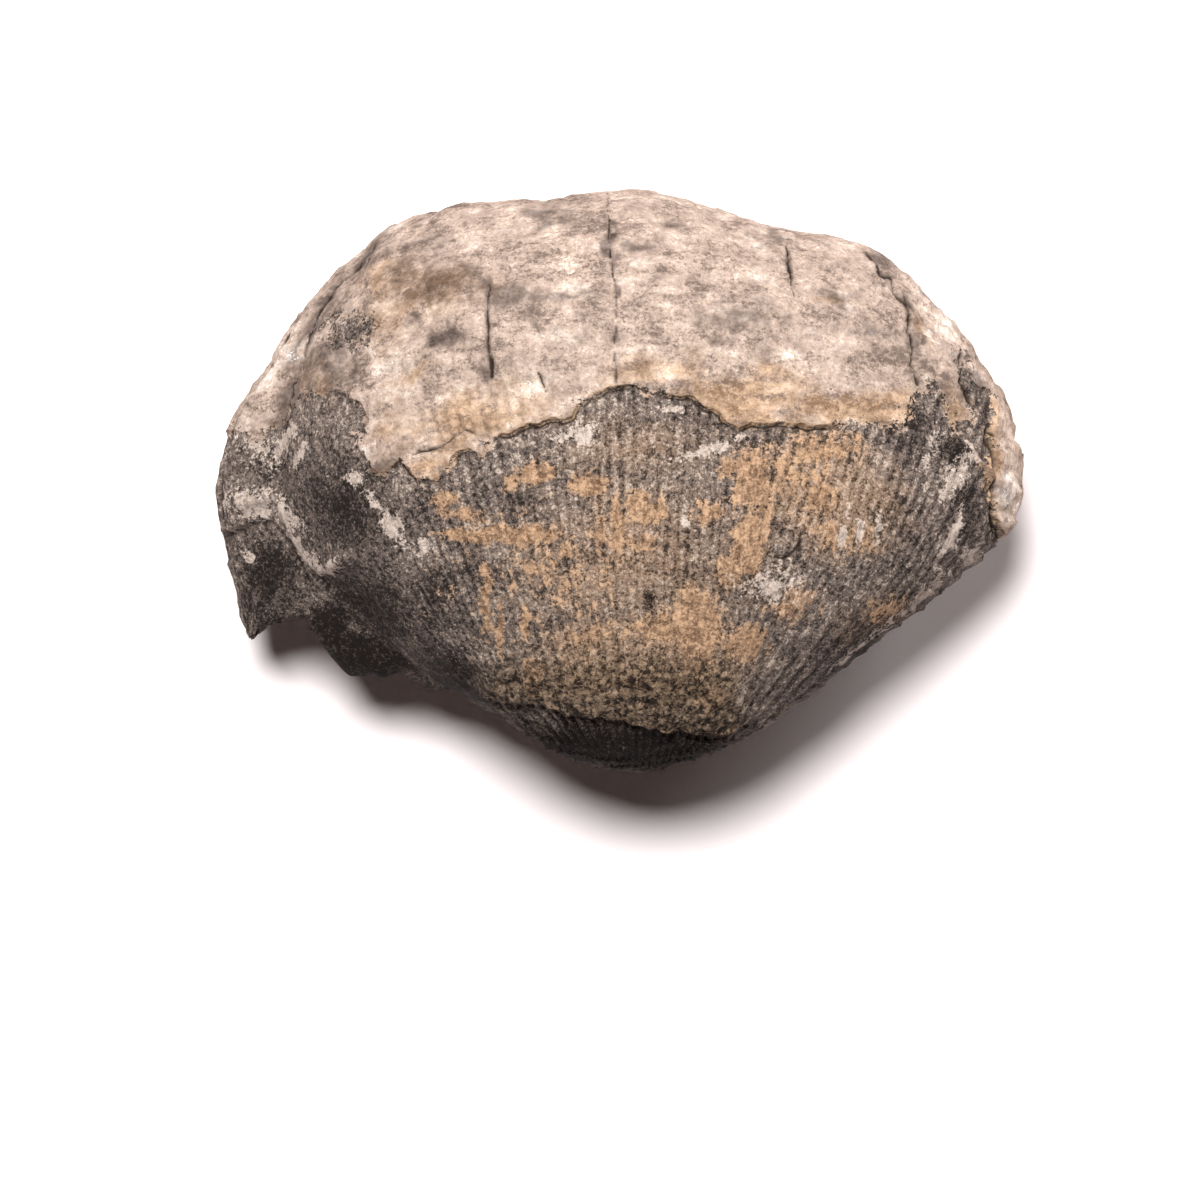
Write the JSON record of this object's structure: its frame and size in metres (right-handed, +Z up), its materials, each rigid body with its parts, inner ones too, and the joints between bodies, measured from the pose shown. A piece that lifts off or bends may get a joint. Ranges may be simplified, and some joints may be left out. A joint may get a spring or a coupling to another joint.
{
  "type": "brachiopod fossil",
  "caption": "Fossil shell of a finely ribbed brachiopod, both valves closed and filled with rock, lying on its flatter valve; display or study piece.",
  "frame": {"origin": "on the resting plane, under the middle of the stone's own box", "axes": "+Z up, through the arched upper valve; +X towards the right flank, along the shell's width; -Y towards the beaks and hinge"},
  "size_m": [0.0304, 0.0218, 0.0148],
  "materials": {
    "fossil_stone": "dry, rough stone: a chalky beige shell layer over dark grey, finely ribbed stone with orange-brown earth in the ribs"
  },
  "bodies": {
    "root": {"brachiopod_fossil": "fossil_stone"}
  },
  "joints": []
}
